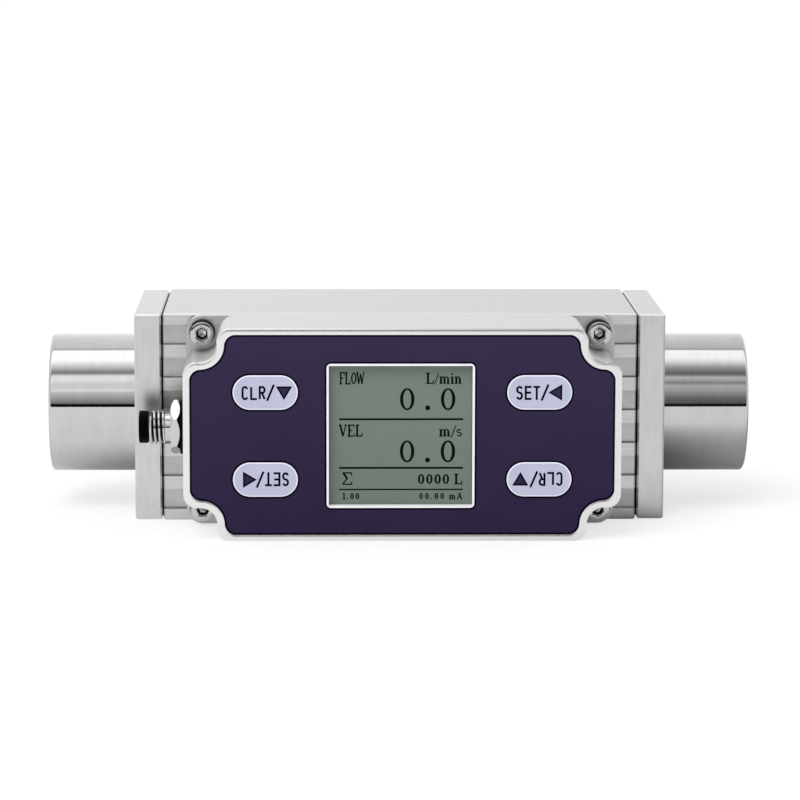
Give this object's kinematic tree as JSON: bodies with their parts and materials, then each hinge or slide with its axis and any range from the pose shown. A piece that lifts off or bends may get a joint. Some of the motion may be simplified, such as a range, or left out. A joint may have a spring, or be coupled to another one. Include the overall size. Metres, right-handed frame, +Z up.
{
  "type": "gas mass flow meter",
  "caption": "Inline gas mass flow meter: square flow body with threaded port stubs, front electronics housing with screen, membrane keys and a side connector.",
  "frame": {"origin": "on the bottom face of the flow body, straight below the centre of the gas path", "axes": "+X along the gas path from the left port to the right port, the display faces -Y, +Z is up"},
  "size_m": [0.1642, 0.0753, 0.0484],
  "materials": {
    "body_metal": "fine machined, with a lengthwise grain",
    "plate_metal": "milled stainless steel, grain up and down",
    "port_metal": "finely turned stainless steel",
    "seal_rubber": "matte black rubber",
    "screw_metal": "bright stainless fasteners",
    "straightener_metal": "drilled stainless disc",
    "inner_plastic": "natural moulded plastic",
    "circuit_board": "green solder mask on glass-fibre board",
    "chip_plastic": "black moulded epoxy",
    "cable_film": "amber polyimide film",
    "housing_metal": "fine blasted cast aluminium with a bright rim",
    "spacer_film": "clear polyester film",
    "overlay_film": "dark purple print behind satin polyester",
    "key_film": "pale lavender print, embossed",
    "border_plastic": "white moulded plastic",
    "screen": "grey-green reflective liquid crystal screen",
    "battery_wrap": "blue shrink wrap",
    "connector_metal": "nickel plated brass",
    "pin_metal": "gold plated contacts",
    "plug_plastic": "soft black moulded plastic"
  },
  "bodies": {
    "root": {"flow_body": "body_metal", "end_plate_left": "plate_metal", "end_plate_right": "plate_metal", "port_stub_left": "port_metal", "port_stub_right": "port_metal", "port_seal_left": "seal_rubber", "port_seal_right": "seal_rubber", "plate_gasket_left": "seal_rubber", "plate_gasket_right": "seal_rubber", "end_plate_screws_left": "screw_metal", "end_plate_screws_right": "screw_metal", "flow_straightener_left": "straightener_metal", "flow_straightener_right": "straightener_metal", "sensor_insert": "inner_plastic", "sensor_insert_seal": "seal_rubber", "sensor_insert_screws": "screw_metal", "sensor_blade": "circuit_board", "sensor_chip": "chip_plastic", "sensor_header": "inner_plastic", "sensor_cable": "cable_film", "housing": "housing_metal", "housing_gasket": "seal_rubber", "housing_screws": "screw_metal", "split_washers": "screw_metal", "key_circuit": "cable_film", "key_spacer": "spacer_film", "key_domes": "screw_metal", "membrane_overlay": "overlay_film", "key_caps": "key_film", "window_border": "border_plastic", "screen_glass": "screen", "backlight": "border_plastic", "display_board": "circuit_board", "board_link": "chip_plastic", "main_board": "circuit_board", "board_screws": "screw_metal", "board_chips": "chip_plastic", "board_sockets": "inner_plastic", "battery_pack": "battery_wrap", "connector_shell": "connector_metal", "connector_seal": "seal_rubber", "connector_nut": "connector_metal", "connector_insert": "chip_plastic", "connector_pins": "pin_metal", "connector_cable": "cable_film", "dust_plug": "plug_plastic"}
  },
  "joints": []
}
